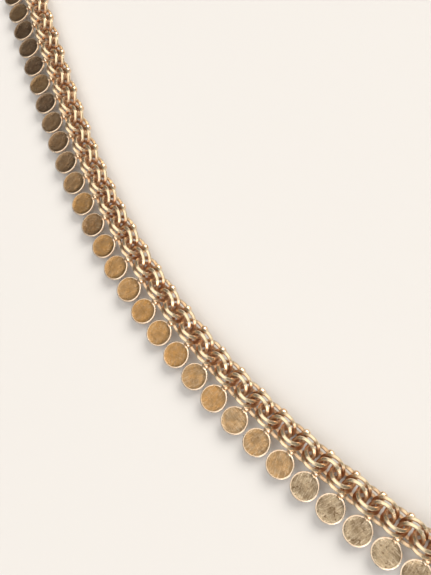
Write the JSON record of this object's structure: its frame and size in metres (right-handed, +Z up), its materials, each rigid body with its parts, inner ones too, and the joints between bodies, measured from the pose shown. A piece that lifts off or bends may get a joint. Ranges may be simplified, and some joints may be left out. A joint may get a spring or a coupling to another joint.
{
  "type": "eyeglasses chain strap",
  "caption": "Gold-coloured strap of paired interlocking rings with a fringe of small round discs, a claw clasp and a silicone temple loop with a sliding coil at each end.",
  "frame": {"origin": "bottom centre of the strap's box, on the surface it lies on", "axes": "+Z up from the surface, +Y along the legs towards the two ends, +X from end a to end b"},
  "size_m": [0.3624, 0.3116, 0.006],
  "materials": {
    "links": "satin",
    "discs": "brushed",
    "fittings": "polished",
    "spring": "satin",
    "silicone": "satin"
  },
  "bodies": {
    "run_01": {"links_01": "links", "discs_01": "discs"},
    "run_02": {"links_02": "links", "discs_02": "discs"},
    "run_03": {"links_03": "links", "discs_03": "discs"},
    "run_04": {"links_04": "links", "discs_04": "discs"},
    "run_05": {"links_05": "links", "discs_05": "discs"},
    "run_06": {"links_06": "links", "discs_06": "discs"},
    "run_07": {"links_07": "links", "discs_07": "discs"},
    "run_08": {"links_08": "links", "discs_08": "discs"},
    "run_09": {"links_09": "links", "discs_09": "discs"},
    "run_10": {"links_10": "links", "discs_10": "discs"},
    "run_11": {"links_11": "links", "discs_11": "discs"},
    "run_12": {"links_12": "links", "discs_12": "discs"},
    "run_13": {"links_13": "links", "discs_13": "discs"},
    "run_14": {"links_14": "links", "discs_14": "discs"},
    "run_15": {"links_15": "links", "discs_15": "discs"},
    "run_16": {"links_16": "links", "discs_16": "discs"},
    "run_17": {"links_17": "links", "discs_17": "discs"},
    "run_18": {"links_18": "links", "discs_18": "discs"},
    "run_19": {"links_19": "links", "discs_19": "discs"},
    "run_20": {"links_20": "links", "discs_20": "discs"},
    "run_21": {"links_21": "links", "discs_21": "discs"},
    "end_ring_a": {"end_ring_a": "fittings"},
    "clasp_a": {"clasp_body_a": "fittings", "clasp_pin_a": "fittings", "clasp_spring_a": "spring"},
    "lever_a": {"clasp_lever_a": "fittings"},
    "loop_ring_a": {"loop_ring_a": "fittings"},
    "loop_a": {"loop_cap_a": "fittings", "temple_loop_a": "silicone"},
    "coil_a": {"slide_coil_a": "fittings"},
    "end_ring_b": {"end_ring_b": "fittings"},
    "clasp_b": {"clasp_body_b": "fittings", "clasp_pin_b": "fittings", "clasp_spring_b": "spring"},
    "lever_b": {"clasp_lever_b": "fittings"},
    "loop_ring_b": {"loop_ring_b": "fittings"},
    "loop_b": {"loop_cap_b": "fittings", "temple_loop_b": "silicone"},
    "coil_b": {"slide_coil_b": "fittings"}
  },
  "joints": [
    {"name": "chain_swing_10", "type": "hinge", "parent": "run_11", "child": "run_10", "pos_m": [-0.01568, -0.14739, 0.00234], "axis": [0, 0, -1], "range_deg": [-2.5, 12]},
    {"name": "chain_swing_12", "type": "hinge", "parent": "run_11", "child": "run_12", "pos_m": [0.01604, -0.14739, 0.00234], "axis": [0, 0, 1], "range_deg": [-2.5, 12]},
    {"name": "chain_lift_09", "type": "hinge", "parent": "run_10", "child": "run_09", "pos_m": [-0.04645, -0.13964, 0.00234], "axis": [0.3808, 0.9246, 0], "range_deg": [-10, 10]},
    {"name": "chain_lift_13", "type": "hinge", "parent": "run_12", "child": "run_13", "pos_m": [0.0468, -0.13964, 0.00234], "axis": [0.3425, -0.9395, 0], "range_deg": [-10, 10]},
    {"name": "chain_swing_08", "type": "hinge", "parent": "run_09", "child": "run_08", "pos_m": [-0.07443, -0.12469, 0.00234], "axis": [0, 0, 1], "range_deg": [-12, 2.5]},
    {"name": "chain_swing_14", "type": "hinge", "parent": "run_13", "child": "run_14", "pos_m": [0.07478, -0.12469, 0.00234], "axis": [0, 0, -1], "range_deg": [-12, 2.5]},
    {"name": "chain_lift_07", "type": "hinge", "parent": "run_08", "child": "run_07", "pos_m": [-0.09946, -0.10512, 0.00234], "axis": [-0.6888, -0.725, 0], "range_deg": [-10, 10]},
    {"name": "chain_lift_15", "type": "hinge", "parent": "run_14", "child": "run_15", "pos_m": [0.09981, -0.10512, 0.00234], "axis": [-0.6674, 0.7447, 0], "range_deg": [-10, 10]},
    {"name": "chain_swing_06", "type": "hinge", "parent": "run_07", "child": "run_06", "pos_m": [-0.12067, -0.0815, 0.00234], "axis": [0, 0, -1], "range_deg": [-2.5, 12]},
    {"name": "chain_swing_16", "type": "hinge", "parent": "run_15", "child": "run_16", "pos_m": [0.12103, -0.0815, 0.00234], "axis": [0, 0, 1], "range_deg": [-2.5, 12]},
    {"name": "chain_lift_05", "type": "hinge", "parent": "run_06", "child": "run_05", "pos_m": [-0.13689, -0.05419, 0.00234], "axis": [0.9054, 0.4245, 0], "range_deg": [-10, 10]},
    {"name": "chain_lift_17", "type": "hinge", "parent": "run_16", "child": "run_17", "pos_m": [0.13724, -0.05419, 0.00234], "axis": [0.8935, -0.4491, 0], "range_deg": [-10, 10]},
    {"name": "chain_swing_04", "type": "hinge", "parent": "run_05", "child": "run_04", "pos_m": [-0.14989, -0.02517, 0.00234], "axis": [0, 0, 1], "range_deg": [-12, 2.5]},
    {"name": "chain_swing_18", "type": "hinge", "parent": "run_17", "child": "run_18", "pos_m": [0.15024, -0.02517, 0.00234], "axis": [0, 0, -1], "range_deg": [-12, 2.5]},
    {"name": "chain_lift_03", "type": "hinge", "parent": "run_04", "child": "run_03", "pos_m": [-0.16129, 0.0045, 0.00234], "axis": [-0.9588, -0.2841, 0], "range_deg": [-10, 10]},
    {"name": "chain_lift_19", "type": "hinge", "parent": "run_18", "child": "run_19", "pos_m": [0.16164, 0.0045, 0.00234], "axis": [-0.9509, 0.3094, 0], "range_deg": [-10, 10]},
    {"name": "chain_swing_02", "type": "hinge", "parent": "run_03", "child": "run_02", "pos_m": [-0.16833, 0.03548, 0.00234], "axis": [0, 0, -1], "range_deg": [-2.5, 12]},
    {"name": "chain_swing_20", "type": "hinge", "parent": "run_19", "child": "run_20", "pos_m": [0.16869, 0.03548, 0.00234], "axis": [0, 0, 1], "range_deg": [-2.5, 12]},
    {"name": "chain_lift_01", "type": "hinge", "parent": "run_02", "child": "run_01", "pos_m": [-0.17211, 0.06705, 0.00234], "axis": [0.9974, 0.0726, 0], "range_deg": [-10, 10]},
    {"name": "chain_lift_21", "type": "hinge", "parent": "run_20", "child": "run_21", "pos_m": [0.17246, 0.06705, 0.00234], "axis": [0.9963, -0.0858, 0], "range_deg": [-10, 10]},
    {"name": "end_ring_hinge_a", "type": "hinge", "parent": "run_01", "child": "end_ring_a", "pos_m": [-0.17337, 0.09892, 0.0024], "axis": [1, 0.0066, 0], "range_deg": [-8, 14]},
    {"name": "clasp_hinge_a", "type": "hinge", "parent": "end_ring_a", "child": "clasp_a", "pos_m": [-0.1738, 0.10226, 0.002], "axis": [0, 0, 1], "range_deg": [-15, 15]},
    {"name": "lever_hinge_a", "type": "hinge", "parent": "clasp_a", "child": "lever_a", "pos_m": [-0.17224, 0.10775, 0.002], "axis": [0, 0, 1], "range_deg": [0, 14], "stiffness_Nm_per_rad": 0.004, "springref_deg": -11.46},
    {"name": "loop_ring_hinge_a", "type": "hinge", "parent": "clasp_a", "child": "loop_ring_a", "pos_m": [-0.17448, 0.11513, 0.00302], "axis": [1, 0.0066, 0], "range_deg": [-8, 25]},
    {"name": "loop_cap_hinge_a", "type": "hinge", "parent": "loop_ring_a", "child": "loop_a", "pos_m": [-0.17449, 0.11748, 0.0018], "axis": [0, 0, 1], "range_deg": [-25, 25]},
    {"name": "coil_slide_a", "type": "slide", "parent": "loop_a", "child": "coil_a", "axis": [-0.0066, 1, 0], "range_m": [0, 0.007]},
    {"name": "end_ring_hinge_b", "type": "hinge", "parent": "run_21", "child": "end_ring_b", "pos_m": [0.17372, 0.09892, 0.0024], "axis": [1, -0.0066, 0], "range_deg": [-8, 14]},
    {"name": "clasp_hinge_b", "type": "hinge", "parent": "end_ring_b", "child": "clasp_b", "pos_m": [0.17333, 0.10226, 0.002], "axis": [0, 0, 1], "range_deg": [-15, 15]},
    {"name": "lever_hinge_b", "type": "hinge", "parent": "clasp_b", "child": "lever_b", "pos_m": [0.17497, 0.10773, 0.002], "axis": [0, 0, 1], "range_deg": [0, 14], "stiffness_Nm_per_rad": 0.004, "springref_deg": -11.46},
    {"name": "loop_ring_hinge_b", "type": "hinge", "parent": "clasp_b", "child": "loop_ring_b", "pos_m": [0.17283, 0.11515, 0.00302], "axis": [1, -0.0066, 0], "range_deg": [-8, 25]},
    {"name": "loop_cap_hinge_b", "type": "hinge", "parent": "loop_ring_b", "child": "loop_b", "pos_m": [0.17284, 0.1175, 0.0018], "axis": [0, 0, 1], "range_deg": [-25, 25]},
    {"name": "coil_slide_b", "type": "slide", "parent": "loop_b", "child": "coil_b", "axis": [0.0066, 1, 0], "range_m": [0, 0.007]}
  ]
}
